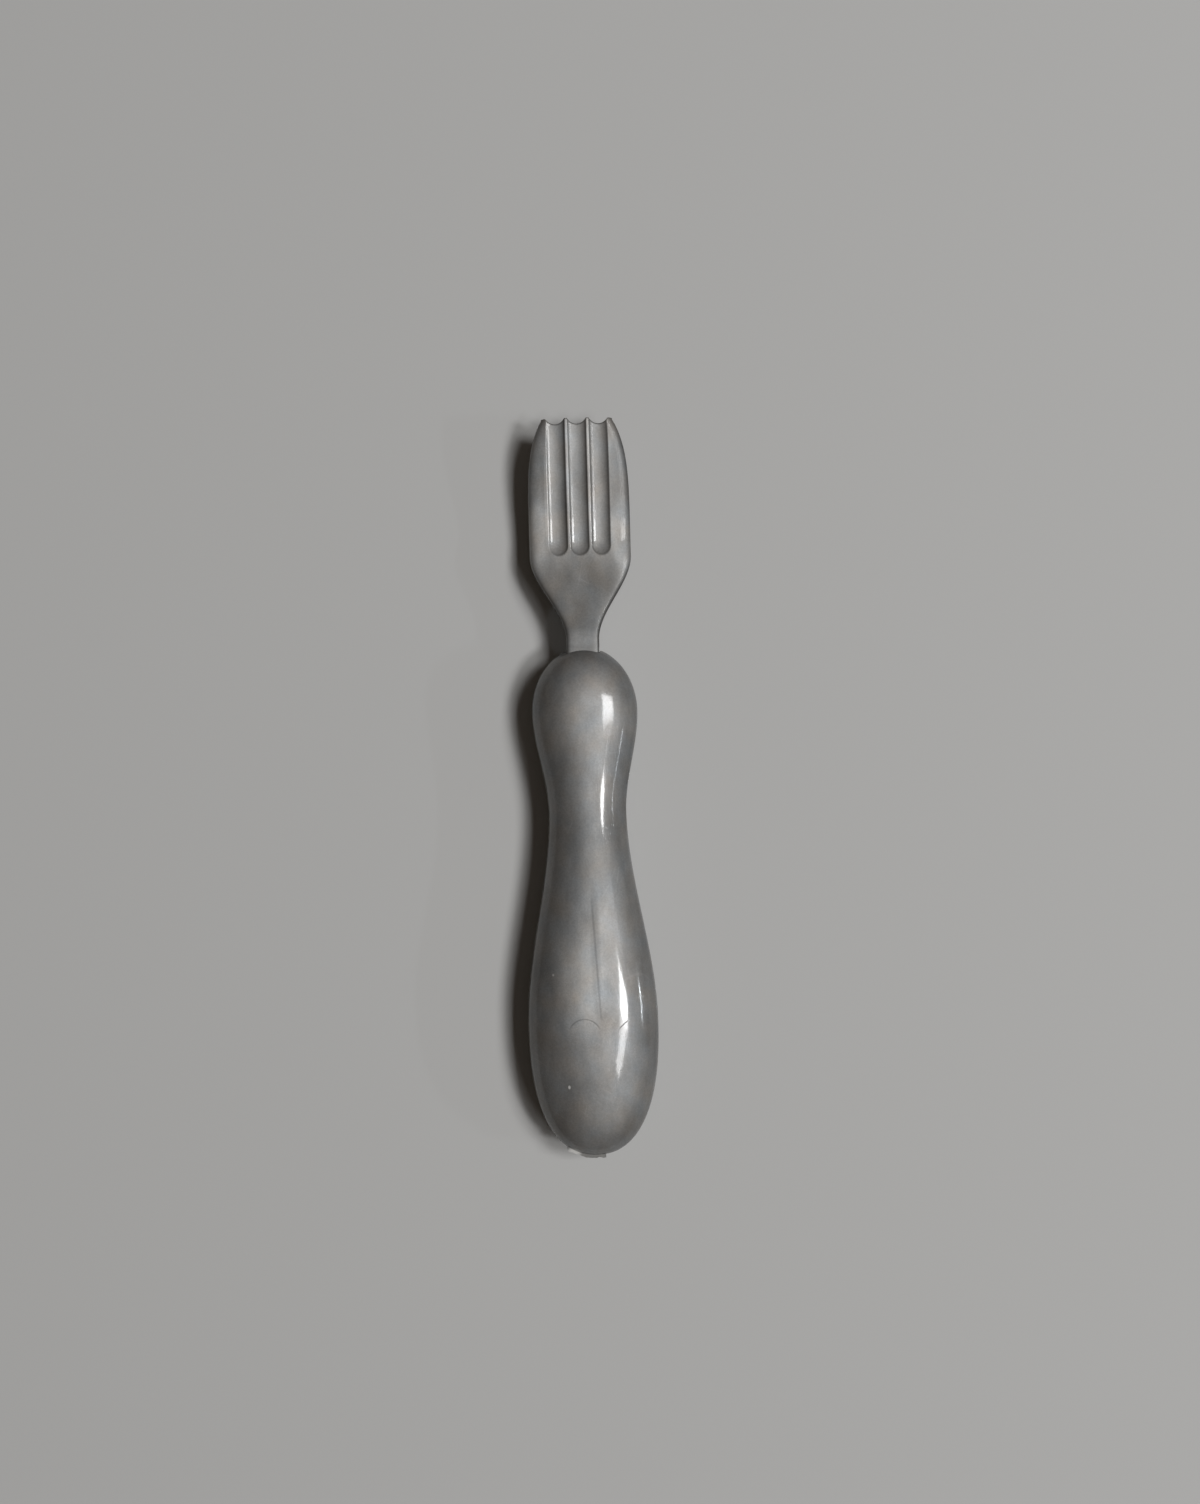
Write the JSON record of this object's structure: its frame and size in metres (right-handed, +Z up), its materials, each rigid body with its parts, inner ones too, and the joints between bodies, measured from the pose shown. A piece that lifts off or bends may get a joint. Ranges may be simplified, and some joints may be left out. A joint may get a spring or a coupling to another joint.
{
  "type": "fork",
  "caption": "Small thick-handled fork: a flat fluted head with webbed tines and a scalloped tip edge, its tang moulded into a bulbous, waisted handle for small hands or dolls.",
  "frame": {"origin": "under the middle of the fork's length, on the surface that it lies on", "axes": "+Y towards the tine tips, +X to the right of the face, +Z up, out of the face"},
  "size_m": [0.0106, 0.0596, 0.0056],
  "materials": {
    "head_plastic": "silver-grey pearl, semi-gloss",
    "handle_plastic": "silver-grey pearl, semi-gloss, with faint flow marks"
  },
  "bodies": {
    "root": {"fork_head": "head_plastic", "handle": "handle_plastic"}
  },
  "joints": []
}
